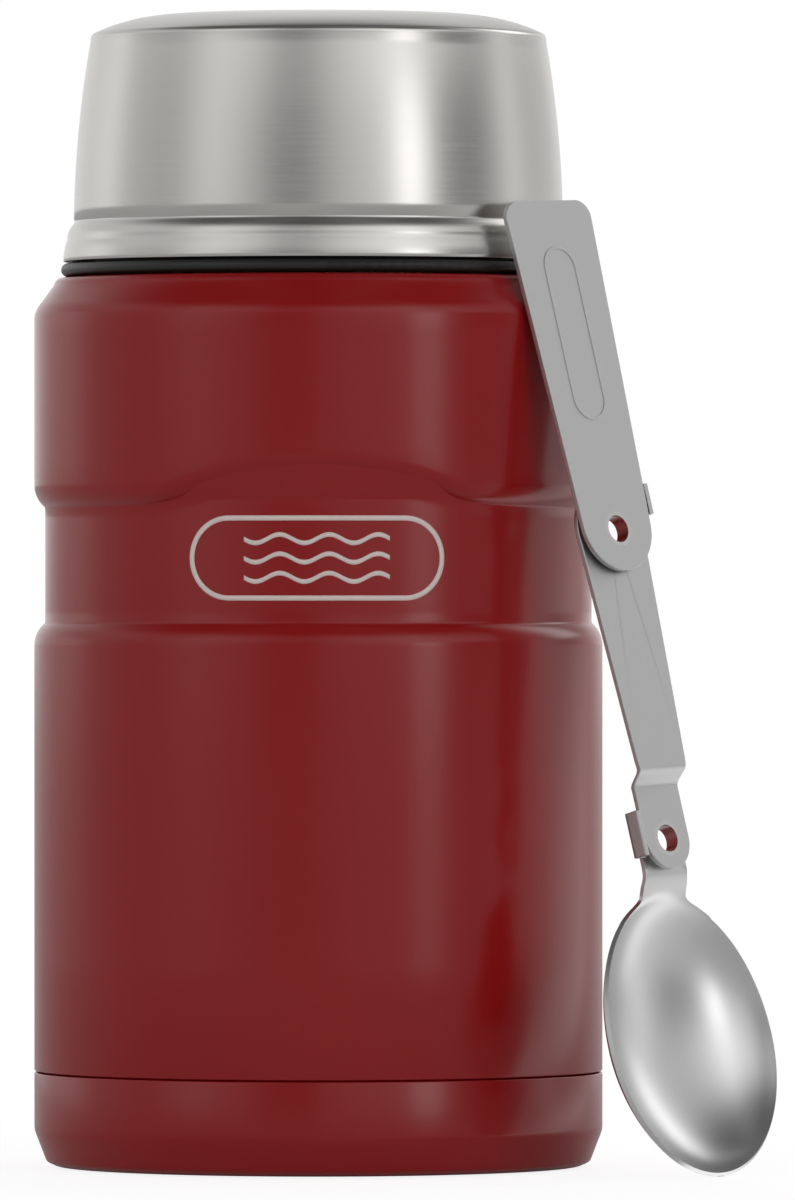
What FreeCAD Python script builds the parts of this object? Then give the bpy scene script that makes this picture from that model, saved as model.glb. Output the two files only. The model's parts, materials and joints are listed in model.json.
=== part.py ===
import FreeCAD, Part
import Sketcher
import math
import os
import re

# Insulated food jar: a double-walled steel jar, a screw stopper with a tray in its top,
# a double-walled lid that turns over into a serving bowl, and a folding spoon that stands
# against the jar. Millimetres, +Z up, origin at the centre of the ring the jar stands on.

SIZES = {
    # shared by every piece; a cutting form runs past what it cuts by the margin
    "steel_wall": 0.6,
    "fit_clearance": 0.05,
    "cut_margin": 2.0,
    # casing and base
    "body_radius": 51.0,
    "tuck_bottom": 9.0,
    "seam_height": 17.1,
    "seam_gap": 0.3,
    "recess_start": 93.2,
    "recess_bottom": 97.5,
    "recess_top": 118.0,
    "recess_end": 122.3,
    "recess_depth": 1.95,
    "arch_radius": 65.0,
    "arch_top": 123.8,
    "shoulder_height": 152.2,
    "shoulder_edge_radius": 9.0,
    "bevel_radius": 49.6,
    "bevel_height": 155.0,
    "shoulder_top_radius": 46.9,
    "shoulder_top": 158.9,
    "top_corner_radius": 1.3,
    "base_flat_radius": 47.0,
    "base_bevel_radius": 48.8,
    "base_bevel_height": 0.8,
    "base_side_start": 6.5,
    "base_recess_radius": 38.0,
    "base_recess_height": 2.0,
    "casing_floor": 6.0,
    "casing_floor_rim": 12.5,
    "casing_floor_corner": 2.0,
    "seal_hole_radius": 2.0,
    "seal_head_radius": 4.0,
    "seal_head_height": 0.8,
    "seal_head_chamfer": 0.4,
    "getter_radius": 5.0,
    "getter_height": 3.0,
    "getter_offset": 24.0,
    # inner vessel
    "liner_radius": 43.0,
    "liner_floor": 14.0,
    "liner_corner": 5.0,
    "liner_shoulder": 144.0,
    "neck_base": 155.0,
    "neck_radius": 37.0,
    "neck_top": 167.6,
    "foil_thickness": 0.2,
    "foil_length": 120.0,
    # stopper
    "flange_gap": 0.6,
    "flange_height": 2.4,
    "flange_radius": 46.2,
    "skirt_thickness": 1.8,
    "bridge_thickness": 1.1,
    "tray_radius": 35.2,
    "tray_wall": 0.8,
    "tray_floor": 156.0,
    "tray_floor_thickness": 1.4,
    "tray_lip_top": 171.8,
    "tray_lip_width": 2.2,
    "tray_corner": 2.0,
    "plug_radius": 35.4,
    "plug_wall": 1.4,
    "plug_bottom": 141.0,
    "plug_corner": 2.0,
    "gasket_thickness": 1.1,
    "gasket_inner_radius": 36.1,
    "gasket_outer_radius": 38.2,
    # screw threads of the stopper and the lid
    "thread_lead": 16.0,
    "thread_height": 1.4,
    "thread_crest_height": 0.77,
    "thread_depth": 0.9,
    "thread_clearance": 0.4,
    "thread_span": 50.0,
    "neck_thread_start": 164.0,
    "lid_thread_start": 163.2,
    # lid
    "lid_gap": 0.3,
    "lid_lip_radius": 45.8,
    "band_middle_radius": 45.1,
    "band_middle_height": 166.1,
    "band_top_radius": 44.0,
    "band_top": 168.9,
    "band_shoulder_radius": 3.4,
    "step_height": 169.4,
    "step_radius": 43.45,
    "lid_wall_start": 169.8,
    "lid_wall_radius": 43.9,
    "lid_wall_bulge": 200.0,
    "lid_rim_radius": 40.9,
    "lid_rim_height": 201.8,
    "lid_rim_corner": 1.2,
    "dome_edge_radius": 40.2,
    "dome_edge_height": 203.2,
    "dome_shoulder_radius": 34.0,
    "dome_flat_radius": 27.0,
    "dome_flat_height": 206.4,
    "dome_top": 207.0,
    "bowl_mouth_radius": 43.3,
    "bowl_radius": 41.3,
    "bowl_wall_start": 170.2,
    "bowl_end_radius": 38.2,
    "bowl_end_height": 197.5,
    "bowl_corner": 4.0,
    "bowl_ceiling": 201.9,
    "ring_lip_inset": 0.3,
    "ring_side_gap": 0.15,
    "ring_top_inset": 0.5,
    "lid_gasket_gap": 0.3,
    "lid_gasket_width": 1.7,
    "lid_gasket_thickness": 1.2,
    # folding spoon, in its own plane: x across, y along the handle, z out of the front
    "plate": 1.0,
    "plate_gap": 0.8,
    "grip_reach": 60.4,
    "grip_top_half": 10.95,
    "grip_corner": 3.2,
    "grip_end_radius": 8.6,
    "grip_end_rise": 1.0,
    "link_reach": 55.4,
    "link_top_radius": 8.3,
    "link_bottom_half": 6.1,
    "link_end_radius": 5.5,
    "link_bend_start": 41.6,
    "link_bend_end": 46.4,
    "link_set_back": 2.7,
    "stop_clearance": 0.4,
    "grip_stop_bottom": 2.4,
    "grip_stop_length": 5.6,
    "head_stop_drop": 2.8,
    "head_stop_length": 8.2,
    "head_stop_height": 2.3,
    "neck_half": 5.3,
    "neck_length": 7.1,
    "neck_flare": 5.0,
    "neck_bend_start": 5.6,
    "neck_bend_end": 10.2,
    "neck_overlap": 5.0,
    "bowl_set_back": 2.3,
    "bowl_half_width": 21.0,
    "bowl_upper_length": 26.6,
    "bowl_lower_length": 24.8,
    "bowl_station": 35.8,
    "bowl_depth": 8.3,
    "bowl_centre_rise": 3.0,
    "spoon_wall": 0.8,
    "rivet_bore": 2.45,
    "rivet_radius": 2.9,
    "rivet_head_radius": 3.25,
    "rivet_head_height": 0.35,
    "rivet_collar_radius": 4.3,
    # how the spoon stands: yaw of its face, lean against the shoulder, tilt in its plane
    "spoon_yaw": 45.0,
    "spoon_lean": 15.0,
    "spoon_tilt": 2.3,
    "spoon_shift": 12.2,
    "spoon_gap": 0.9,
}

THREAD_STARTS = 4
LUG_STEPS = 6
LUG_ROOT = 0.4

doc = FreeCAD.newDocument("insulated_food_jar")
sheet = doc.addObject("Spreadsheet::Sheet", "sizes")
finished = []


def fill_sheet():
    """One row per driving size: its name, its value and its alias."""
    for row, (name, number) in enumerate(SIZES.items(), start=1):
        sheet.set(f"A{row}", name)
        sheet.set(f"B{row}", str(number))
        sheet.setAlias(f"B{row}", name)
    doc.recompute()


def bound(text):
    """The expression with each size name pointed at the sheet."""
    def pointed(match):
        word = match.group()
        return "sizes." + word if word in SIZES else word
    return re.sub(r"[a-z_]+", pointed, text)


def value(text):
    """What an expression of sizes comes to, in plain millimetres or degrees."""
    return float(sheet.evalExpression(bound(text)))


def bind(feature, **properties):
    for name, text in properties.items():
        feature.setExpression(name, bound(text))


def origin_plane(body, role):
    for plane in body.Origin.OriginFeatures:
        if plane.Role == role:
            return plane
    raise RuntimeError("no plane " + role)


def arc_between(start, end, radius, side):
    """A circular edge; side +1 has its centre on the left of the way from start to end."""
    chord = end - start
    half = chord.Length / 2
    rise = math.sqrt(max(radius ** 2 - half ** 2, 0.0))
    left = FreeCAD.Vector(-chord.y, chord.x, 0).normalize()
    centre = (start + end) / 2 + left * (rise * side)
    first, last = (start, end) if side > 0 else (end, start)
    angles = [math.atan2(point.y - centre.y, point.x - centre.x) for point in (first, last)]
    if angles[1] < angles[0]:
        angles[1] += 2 * math.pi
    circle = Part.Circle(centre, FreeCAD.Vector(0, 0, 1), radius)
    return Part.ArcOfCircle(circle, angles[0], angles[1])


def draw_outline(sketch, corners):
    """A closed outline. A corner is (across, up) or (across, up, radius, side) before an arc."""
    points = [FreeCAD.Vector(value(corner[0]), value(corner[1]), 0) for corner in corners]
    edges = []
    starts = []
    for index, corner in enumerate(corners):
        start = points[index]
        end = points[(index + 1) % len(points)]
        if len(corner) == 4:
            edges.append(arc_between(start, end, value(corner[2]), corner[3]))
            starts.append(1 if corner[3] > 0 else 2)
        else:
            edges.append(Part.LineSegment(start, end))
            starts.append(1)
    first = sketch.GeometryCount
    sketch.addGeometry(edges, False)
    rules = []
    expressions = []
    for index, corner in enumerate(corners):
        edge = first + index
        following = (index + 1) % len(corners)
        join = Sketcher.Constraint(
            "Coincident", edge, 3 - starts[index], first + following, starts[following])
        across = Sketcher.Constraint("DistanceX", -1, 1, edge, starts[index], points[index].x)
        upward = Sketcher.Constraint("DistanceY", -1, 1, edge, starts[index], points[index].y)
        rules.extend([join, across, upward])
        expressions.extend([None, corner[0], corner[1]])
        if len(corner) == 4:
            rules.append(Sketcher.Constraint("Radius", edge, value(corner[2])))
            expressions.append(corner[2])
    before = sketch.ConstraintCount
    sketch.addConstraint(rules)
    for index, text in enumerate(expressions):
        if text is not None:
            sketch.setExpression(f"Constraints[{before + index}]", bound(text))


def body_with_sketch(name, role, corners):
    body = doc.addObject("PartDesign::Body", name)
    sketch = body.newObject("Sketcher::SketchObject", name + "_outline")
    sketch.AttachmentSupport = (origin_plane(body, role), [""])
    sketch.MapMode = "FlatFace"
    draw_outline(sketch, corners)
    return body, sketch


def turned(name, corners):
    """A body of revolution about Z; corners are (radius, height)."""
    body, sketch = body_with_sketch(name, "XZ_Plane", corners)
    turn = body.newObject("PartDesign::Revolution", name + "_turn")
    turn.Profile = sketch
    turn.ReferenceAxis = (sketch, ["V_Axis"])
    turn.Angle = 360
    doc.recompute()
    return body


def plate_form(name, corners, bottom, thickness):
    """A flat plate: an outline in the XY plane, raised to bottom and padded along +Z."""
    body, sketch = body_with_sketch(name, "XY_Plane", corners)
    bind(sketch, **{"AttachmentOffset.Base.z": bottom})
    pad = body.newObject("PartDesign::Pad", name + "_pad")
    pad.Profile = sketch
    bind(pad, Length=thickness)
    doc.recompute()
    return body


def side_form(name, corners, half_width):
    """A strip seen from its side: an outline in the YZ plane, padded both ways along X."""
    body, sketch = body_with_sketch(name, "YZ_Plane", corners)
    pad = body.newObject("PartDesign::Pad", name + "_pad")
    pad.Profile = sketch
    pad.Midplane = True
    bind(pad, Length=f"2 * ({half_width})")
    doc.recompute()
    return body


def primitive(kind, name, place=("0", "0", "0"), **properties):
    feature = doc.addObject("Part::" + kind, name)
    bind(feature, **properties)
    for axis, text in zip("xyz", place):
        bind(feature, **{"Placement.Base." + axis: text})
    return feature


def cut(name, base, tool):
    feature = doc.addObject("Part::Cut", name)
    feature.Base = base
    feature.Tool = tool
    doc.recompute()
    return feature


def joined(name, pieces):
    feature = doc.addObject("Part::MultiFuse", name)
    feature.Shapes = pieces
    doc.recompute()
    return feature


def shared(name, pieces):
    feature = doc.addObject("Part::MultiCommon", name)
    feature.Shapes = pieces
    doc.recompute()
    return feature


def finish(label, feature, placement=None):
    """Names a sub-part and keeps it for the export."""
    feature.Label = label
    if placement is not None:
        feature.Placement = placement
    finished.append(feature)


# Casing


def casing_profile(inset, bottom):
    """Outline of the casing, drawn in by inset: seam, lower band, recess, upper band, shoulder."""
    mean_radius = "(body_radius - recess_depth / 2)"
    half_rise = "((recess_bottom - recess_start) / 2)"
    half_fall = "((recess_end - recess_top) / 2)"
    lower_curve = f"({half_rise} ^ 2 + (recess_depth / 2) ^ 2) / recess_depth"
    upper_curve = f"({half_fall} ^ 2 + (recess_depth / 2) ^ 2) / recess_depth"
    tuck = f"body_radius - steel_wall - fit_clearance - {inset}"
    side = f"body_radius - {inset}"
    waist = f"body_radius - recess_depth - {inset}"
    top = f"shoulder_top - {inset}"
    return [
        ("0", bottom),
        (tuck, bottom),
        (tuck, f"seam_height + {inset}"),
        (side, f"seam_height + {inset}"),
        (side, "recess_start", lower_curve, 1),
        (f"{mean_radius} - {inset}", "(recess_start + recess_bottom) / 2", lower_curve, -1),
        (waist, "recess_bottom"),
        (waist, "recess_top", upper_curve, -1),
        (f"{mean_radius} - {inset}", "(recess_top + recess_end) / 2", upper_curve, 1),
        (side, "recess_end"),
        (side, "shoulder_height", "shoulder_edge_radius", 1),
        (f"bevel_radius - {inset}", f"bevel_height - {inset} / 2"),
        (f"shoulder_top_radius + top_corner_radius / 2 - {inset}",
         f"{top} - top_corner_radius", "top_corner_radius", 1),
        (f"shoulder_top_radius - top_corner_radius / 2 - {inset}", top),
        ("0", top),
    ]


def arch_form(name, inset):
    """The part of the ring under the arch that the recess takes away on the front."""
    outside = primitive("Cylinder", name + "_outside", ("0", "0", "recess_top - cut_margin"),
                        Radius="body_radius + cut_margin",
                        Height="arch_top - recess_top + 2 * cut_margin")
    inside = primitive("Cylinder", name + "_inside", ("0", "0", "recess_top - 2 * cut_margin"),
                       Radius=f"body_radius - recess_depth - {inset}",
                       Height="arch_top - recess_top + 4 * cut_margin")
    ring = cut(name + "_ring", outside, inside)
    disc = doc.addObject("Part::Cylinder", name + "_disc")
    disc.Placement = FreeCAD.Placement(
        FreeCAD.Vector(0, 0, 0), FreeCAD.Rotation(FreeCAD.Vector(1, 0, 0), 90))
    bind(disc, Radius=f"arch_radius + {inset}", Height="body_radius + 2 * cut_margin")
    bind(disc, **{"Placement.Base.z": "arch_top - arch_radius"})
    return shared(name, [ring, disc])


def outer_shell():
    outside = turned("casing_outside", casing_profile("0", "tuck_bottom"))
    inside = turned("casing_inside", casing_profile("steel_wall", "tuck_bottom - cut_margin"))
    outside = cut("casing_outside_arched", outside, arch_form("arch_outside", "0"))
    inside = cut("casing_inside_arched", inside, arch_form("arch_inside", "steel_wall"))
    wall = cut("casing_wall", outside, inside)
    mouth = primitive("Cylinder", "casing_mouth", ("0", "0", "shoulder_top - cut_margin"),
                      Radius="neck_radius + fit_clearance", Height="2 * cut_margin")
    finish("outer_shell", cut("outer_shell", wall, mouth))


def base_cup():
    """Cap under the jar, with a dished middle, that laps over the casing's lower end."""
    wall = "steel_wall"
    top = "seam_height - seam_gap"
    flare = "(base_bevel_radius - base_flat_radius)"
    edge = f"({flare} ^ 2 + base_bevel_height ^ 2) / (2 * base_bevel_height)"
    finish("base_cup", turned("base_cup", [
        ("0", "base_recess_height"),
        ("base_recess_radius", "base_recess_height"),
        ("base_recess_radius + base_recess_height", "0"),
        ("base_flat_radius", "0", edge, 1),
        ("base_bevel_radius", "base_bevel_height"),
        ("body_radius", "base_side_start"),
        ("body_radius", top),
        (f"body_radius - {wall}", top),
        (f"body_radius - {wall}", "base_side_start"),
        (f"base_bevel_radius - {wall}", f"base_bevel_height + {wall} / 2"),
        (f"base_flat_radius - {wall}", wall),
        (f"base_recess_radius + base_recess_height + {wall} / 2", wall),
        (f"base_recess_radius + {wall} / 2", f"base_recess_height + {wall}"),
        ("0", f"base_recess_height + {wall}"),
    ]))


def shell_bottom():
    """Dished disc welded into the casing's lower end, with the hole the air is drawn through."""
    outer = "body_radius - 2 * steel_wall - 2 * fit_clearance"
    corner = "casing_floor_corner"
    finish("shell_bottom", turned("shell_bottom", [
        ("seal_hole_radius", "casing_floor"),
        (f"{outer} - {corner}", "casing_floor", corner, 1),
        (outer, f"casing_floor + {corner}"),
        (outer, "casing_floor_rim"),
        (f"{outer} - steel_wall", "casing_floor_rim"),
        (f"{outer} - steel_wall", f"casing_floor + {corner}", f"{corner} - steel_wall", -1),
        (f"{outer} - {corner}", "casing_floor + steel_wall"),
        ("seal_hole_radius", "casing_floor + steel_wall"),
    ]))


def vacuum_seal_plug():
    finish("vacuum_seal_plug", turned("vacuum_seal_plug", [
        ("0", "casing_floor - seal_head_height"),
        ("seal_head_radius - seal_head_chamfer", "casing_floor - seal_head_height"),
        ("seal_head_radius", "casing_floor - seal_head_height + seal_head_chamfer"),
        ("seal_head_radius", "casing_floor"),
        ("seal_hole_radius - fit_clearance", "casing_floor"),
        ("seal_hole_radius - fit_clearance", "casing_floor + steel_wall"),
        ("0", "casing_floor + steel_wall"),
    ]))


def getter_capsule():
    """Gas getter fixed on the casing's floor, in the vacuum."""
    capsule = primitive("Cylinder", "getter_capsule",
                        ("0", "getter_offset", "casing_floor + steel_wall"),
                        Radius="getter_radius", Height="getter_height")
    finish("getter_capsule", capsule)


# Inner vessel and the threads


def thread_lugs(name, root, crest, start_height):
    """Short ridges on the screw's helix, one per start, from radius root to radius crest."""
    half = value("thread_height") / 2
    crest_half = value("thread_crest_height") / 2
    span = value("thread_span")
    lead = value("thread_lead")
    lugs = []
    for start in range(THREAD_STARTS):
        sections = []
        for step in range(LUG_STEPS + 1):
            turn = span * step / LUG_STEPS
            middle = value(start_height) + lead * turn / 360
            corners = [
                FreeCAD.Vector(root, 0, middle - half),
                FreeCAD.Vector(crest, 0, middle - crest_half),
                FreeCAD.Vector(crest, 0, middle + crest_half),
                FreeCAD.Vector(root, 0, middle + half),
            ]
            wire = Part.makePolygon(corners + corners[:1])
            angle = 360.0 * start / THREAD_STARTS + turn
            wire.rotate(FreeCAD.Vector(0, 0, 0), FreeCAD.Vector(0, 0, 1), angle)
            sections.append(wire)
        lugs.append(Part.makeLoft(sections, True, True))
    feature = doc.addObject("Part::Feature", name)
    feature.Shape = Part.makeCompound(lugs)
    return feature


def inner_liner():
    """Food vessel, in one piece with its neck, and the thread ridges of the stopper."""
    wall = "steel_wall"
    vessel = turned("liner_wall", [
        ("0", f"liner_floor - {wall}"),
        ("liner_radius - liner_corner", f"liner_floor - {wall}", f"liner_corner + {wall}", 1),
        (f"liner_radius + {wall}", "liner_floor + liner_corner"),
        (f"liner_radius + {wall}", "liner_shoulder"),
        ("neck_radius", "neck_base"),
        ("neck_radius", "neck_top"),
        (f"neck_radius - {wall}", "neck_top"),
        (f"neck_radius - {wall}", f"neck_base - {wall} / 2"),
        ("liner_radius", f"liner_shoulder - {wall} / 2"),
        ("liner_radius", "liner_floor + liner_corner", "liner_corner", -1),
        ("liner_radius - liner_corner", "liner_floor"),
        ("0", "liner_floor"),
    ])
    lugs = thread_lugs("neck_lugs", value("neck_radius") - LUG_ROOT,
                       value("neck_radius + thread_depth"), "neck_thread_start")
    finish("inner_liner", joined("inner_liner", [vessel, lugs]))


def radiation_foil():
    inner = "liner_radius + steel_wall + fit_clearance"
    bottom = "liner_floor + liner_corner"
    finish("radiation_foil", turned("radiation_foil", [
        (inner, bottom),
        (f"{inner} + foil_thickness", bottom),
        (f"{inner} + foil_thickness", f"{bottom} + foil_length"),
        (inner, f"{bottom} + foil_length"),
    ]))


# Stopper


FLANGE_BOTTOM = "(shoulder_top + flange_gap)"
FLANGE_TOP = "(shoulder_top + flange_gap + flange_height)"
SKIRT_INNER = "(neck_radius + thread_depth + thread_clearance)"
SKIRT_OUTER = "(neck_radius + thread_depth + thread_clearance + skirt_thickness)"
BRIDGE_BOTTOM = "(neck_top + gasket_thickness + 2 * fit_clearance)"
BRIDGE_TOP = f"({BRIDGE_BOTTOM} + bridge_thickness)"
HALF_PITCH = f"(thread_lead / {2 * THREAD_STARTS})"


def stopper_tray():
    """The cup in the stopper's top that the folded spoon lies in, hung by its lip."""
    tray_outer = "tray_radius + tray_wall"
    floor_bottom = "tray_floor - tray_floor_thickness"
    finish("stopper_tray", turned("stopper_tray", [
        ("0", "tray_floor"),
        ("tray_radius - tray_corner", "tray_floor", "tray_corner", 1),
        ("tray_radius", "tray_floor + tray_corner"),
        ("tray_radius", "tray_lip_top"),
        ("tray_radius + tray_lip_width", "tray_lip_top"),
        ("tray_radius + tray_lip_width", BRIDGE_TOP),
        (tray_outer, BRIDGE_TOP),
        (tray_outer, floor_bottom),
        ("0", floor_bottom),
    ]))


def stopper_cap():
    """Flange, threaded skirt and the bridge that the tray hangs in."""
    bead = "(flange_height / 2)"
    bridge_inner = "tray_radius + tray_wall + fit_clearance"
    turned_part = turned("stopper_form", [
        (bridge_inner, BRIDGE_TOP),
        (SKIRT_OUTER, BRIDGE_TOP),
        (SKIRT_OUTER, FLANGE_TOP),
        (f"flange_radius - {bead}", FLANGE_TOP, bead, -1),
        ("flange_radius", f"{FLANGE_BOTTOM} + {bead}", bead, -1),
        (f"flange_radius - {bead}", FLANGE_BOTTOM),
        (SKIRT_INNER, FLANGE_BOTTOM),
        (SKIRT_INNER, BRIDGE_BOTTOM),
        (bridge_inner, BRIDGE_BOTTOM),
    ])
    inner_lugs = thread_lugs("stopper_inner_lugs", value(SKIRT_INNER) + LUG_ROOT,
                             value(f"{SKIRT_INNER} - thread_depth"),
                             f"neck_thread_start - {HALF_PITCH}")
    outer_lugs = thread_lugs("stopper_outer_lugs", value(SKIRT_OUTER) - LUG_ROOT,
                             value(f"{SKIRT_OUTER} + thread_depth"),
                             f"lid_thread_start + {HALF_PITCH}")
    finish("stopper_cap", joined("stopper_cap", [turned_part, inner_lugs, outer_lugs]))


def stopper_plug():
    """Cup under the tray that reaches into the neck and holds the foam."""
    top = "tray_floor - tray_floor_thickness"
    finish("stopper_plug", turned("stopper_plug", [
        ("0", "plug_bottom"),
        ("plug_radius - plug_corner", "plug_bottom", "plug_corner", 1),
        ("plug_radius", "plug_bottom + plug_corner"),
        ("plug_radius", top),
        ("plug_radius - plug_wall", top),
        ("plug_radius - plug_wall", "plug_bottom + plug_wall"),
        ("0", "plug_bottom + plug_wall"),
    ]))


def stopper_foam():
    outer = "plug_radius - plug_wall - fit_clearance"
    bottom = "plug_bottom + plug_wall + fit_clearance"
    top = "tray_floor - tray_floor_thickness - fit_clearance"
    foam = primitive("Cylinder", "stopper_foam", ("0", "0", bottom),
                     Radius=outer, Height=f"({top}) - ({bottom})")
    finish("stopper_foam", foam)


def flat_ring(label, inner, outer, bottom, thickness):
    finish(label, turned(label, [
        (inner, bottom),
        (outer, bottom),
        (outer, f"{bottom} + {thickness}"),
        (inner, f"{bottom} + {thickness}"),
    ]))


# Lid


LID_LIP = f"({FLANGE_TOP} + lid_gap)"
RING_INNER = f"({SKIRT_OUTER} + thread_depth + thread_clearance)"


def lid_profile(inset):
    """Outline of the lid, drawn in by inset: band, step, bulged wall, rim and low dome."""
    crown_base = f"(dome_flat_radius - {inset} / 2)"
    crown_rise = "(dome_top - dome_flat_height)"
    crown_radius = f"({crown_base} ^ 2 + {crown_rise} ^ 2) / (2 * {crown_rise})"
    return [
        ("0", LID_LIP),
        (f"lid_lip_radius - {inset}", LID_LIP),
        (f"band_middle_radius - {inset}", "band_middle_height", "band_shoulder_radius", 1),
        (f"band_top_radius - {inset}", f"band_top - {inset} / 3"),
        (f"step_radius - {inset}", f"step_height - {inset} / 3"),
        (f"lid_wall_radius - {inset}", "lid_wall_start", "lid_wall_bulge", 1),
        (f"lid_rim_radius - {inset}", "lid_rim_height", "lid_rim_corner", 1),
        (f"dome_edge_radius - {inset}", f"dome_edge_height - {inset}",
         "dome_shoulder_radius", 1),
        (crown_base, f"dome_flat_height - {inset}", crown_radius, 1),
        ("0", f"dome_top - {inset}"),
    ]


def lid_shell():
    outside = turned("lid_outside", lid_profile("0"))
    inside = turned("lid_inside", lid_profile("steel_wall"))
    finish("lid_shell", cut("lid_shell", outside, inside))


def bowl_profile(inset):
    """Outline of the lid's inner bowl: mouth, shelf over the thread, wall and ceiling."""
    return [
        ("0", LID_LIP),
        (f"lid_lip_radius - steel_wall - fit_clearance - {inset}", LID_LIP),
        (f"bowl_mouth_radius - {inset}", f"band_top - {inset} / 2"),
        (f"bowl_radius - {inset}", f"bowl_wall_start - {inset}"),
        (f"bowl_end_radius - {inset}", "bowl_end_height", f"bowl_corner - {inset}", 1),
        (f"bowl_end_radius - bowl_corner", f"bowl_ceiling - {inset}"),
        ("0", f"bowl_ceiling - {inset}"),
    ]


def lid_liner():
    outside = turned("bowl_outside", bowl_profile("0"))
    inside = turned("bowl_inside", bowl_profile("steel_wall"))
    finish("lid_liner", cut("lid_liner", outside, inside))


def lid_thread_ring():
    """Threaded ring held in the lid's mouth; its outside follows the bowl's mouth."""
    skins = "2 * steel_wall + 2 * fit_clearance"
    bottom = f"{LID_LIP} + ring_lip_inset"
    top = "band_top - ring_top_inset"
    ring = turned("ring_form", [
        (RING_INNER, bottom),
        (f"lid_lip_radius - ring_side_gap - ({skins})", bottom),
        ("bowl_mouth_radius - steel_wall - 2 * fit_clearance", top),
        (RING_INNER, top),
    ])
    lugs = thread_lugs("ring_lugs", value(RING_INNER) + LUG_ROOT,
                       value(f"{RING_INNER} - thread_depth"), "lid_thread_start")
    finish("lid_thread_ring", joined("lid_thread_ring", [ring, lugs]))


# Folding spoon


LINK_FRONT = "(-plate_gap)"
LOWER_FRONT = "(-plate_gap - link_set_back)"
HEAD_FRONT = "(-2 * plate_gap - link_set_back - plate)"
BOWL_RIM = f"({HEAD_FRONT} - bowl_set_back)"


def spoon_placement():
    """Stands the spoon on its tip, its back a small gap off the casing's shoulder."""
    yaw = math.radians(value("spoon_yaw"))
    lean = math.radians(value("spoon_lean"))
    tilt = math.radians(value("spoon_tilt"))
    across = FreeCAD.Vector(math.cos(yaw), math.sin(yaw), 0)
    outward = FreeCAD.Vector(math.sin(yaw), -math.cos(yaw), 0)
    up = FreeCAD.Vector(0, 0, 1)
    front = outward * math.cos(lean) + up * math.sin(lean)
    rise = up * math.cos(lean) - outward * math.sin(lean)
    side = across * math.cos(tilt) + rise * math.sin(tilt)
    along = rise * math.cos(tilt) - across * math.sin(tilt)
    half = value("bowl_half_width")
    lower = value("bowl_lower_length")
    station = value("link_reach + bowl_station")
    reach = station * math.cos(tilt) + math.hypot(half * math.sin(tilt), lower * math.cos(tilt))
    hub_height = reach * math.cos(lean) - value(BOWL_RIM) * math.sin(lean)
    distance = value("body_radius + spoon_gap / cos(spoon_lean)")
    distance += (value("shoulder_height") - hub_height) * math.tan(lean)
    hub = outward * distance + across * value("spoon_shift") + up * hub_height
    matrix = FreeCAD.Matrix(side.x, along.x, front.x, hub.x,
                            side.y, along.y, front.y, hub.y,
                            side.z, along.z, front.z, hub.z,
                            0, 0, 0, 1)
    return FreeCAD.Placement(matrix)


def rivet_form(name, hub, front, bore, grown):
    """Hollow rivet through two plates; a collar keeps them apart, flush heads hold them."""
    back = f"({front} - 2 * plate - plate_gap)"
    barrel = f"rivet_radius + {grown}"
    head = f"rivet_head_radius + {grown}"
    collar = "rivet_collar_radius"
    rivet = turned(name, [
        (bore, back),
        (head, back),
        (barrel, f"{back} + rivet_head_height"),
        (barrel, f"{back} + plate"),
        (collar, f"{back} + plate + fit_clearance"),
        (collar, f"{front} - plate - fit_clearance"),
        (barrel, f"{front} - plate"),
        (barrel, f"{front} - rivet_head_height"),
        (head, front),
        (bore, front),
    ])
    bind(rivet, **{"Placement.Base.y": hub})
    doc.recompute()
    return rivet


def stop_lug(name, left, bottom, back, width, length, height):
    """A lug bent forward from a plate's edge, which the other plate comes to rest on."""
    return primitive("Box", name, (left, bottom, back), Width=length, Length=width, Height=height)


def spoon_grip(placement):
    half = "grip_end_radius"
    blank = plate_form("grip_blank", [
        (f"-{half}", "grip_end_rise", half, 1),
        ("0", f"grip_end_rise - {half}", half, 1),
        (half, "grip_end_rise"),
        ("grip_top_half", "grip_reach - grip_corner", "grip_corner", 1),
        ("grip_top_half - grip_corner", "grip_reach"),
        ("grip_corner - grip_top_half", "grip_reach", "grip_corner", 1),
        ("-grip_top_half", "grip_reach - grip_corner"),
    ], "0", "plate")
    seat = rivet_form("grip_seat", "0", "plate", "0", "fit_clearance")
    finish("spoon_grip", cut("spoon_grip", blank, seat), placement)


def link_strip():
    """The link from its side: it steps back between the two hubs."""
    top = "link_top_radius + cut_margin"
    bottom = "-link_reach - link_end_radius - cut_margin"
    return side_form("link_strip", [
        (top, LINK_FRONT),
        (top, f"{LINK_FRONT} - plate"),
        ("-link_bend_start", f"{LINK_FRONT} - plate"),
        ("-link_bend_end", f"{LOWER_FRONT} - plate"),
        (bottom, f"{LOWER_FRONT} - plate"),
        (bottom, LOWER_FRONT),
        ("-link_bend_end", LOWER_FRONT),
        ("-link_bend_start", LINK_FRONT),
    ], "link_top_radius + cut_margin")


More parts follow.
